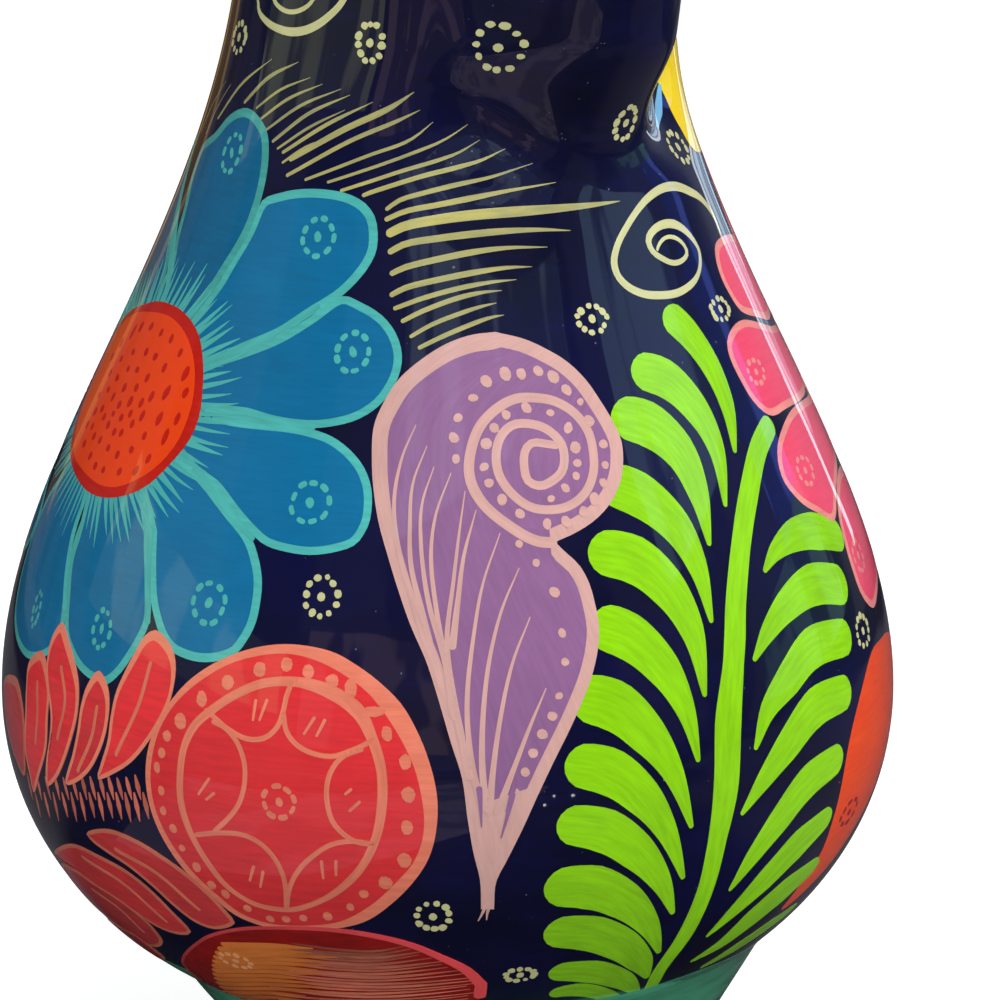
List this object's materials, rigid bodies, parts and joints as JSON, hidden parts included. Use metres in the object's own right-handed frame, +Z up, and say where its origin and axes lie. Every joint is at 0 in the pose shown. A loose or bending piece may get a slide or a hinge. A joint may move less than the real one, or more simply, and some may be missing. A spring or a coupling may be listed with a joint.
{
  "type": "clay jug",
  "caption": "Pear-shaped clay jug on a ring foot, with a tall neck pulled into a pouring lip and a strap handle behind, for holding and pouring drinks.",
  "frame": {"origin": "on the belly's axis, on the surface that the jug stands on; the ring foot's own axis is 5.5 mm off it", "axes": "+Z up; +X towards the pouring lip; the handle is on the -X side"},
  "size_m": [0.2, 0.2, 0.3254],
  "materials": {
    "navy_paint": "brushed navy paint under a high-gloss varnish",
    "teal_paint": "brushed teal paint under a high-gloss varnish",
    "handle_paint": "brushed teal paint under a high-gloss varnish",
    "terracotta": "bare fired clay, matt",
    "painted_flowers": "thin brushed colours under a high-gloss varnish"
  },
  "bodies": {
    "root": {"foot": "teal_paint", "belly": "navy_paint", "neck": "navy_paint", "handle": "handle_paint"}
  },
  "joints": []
}
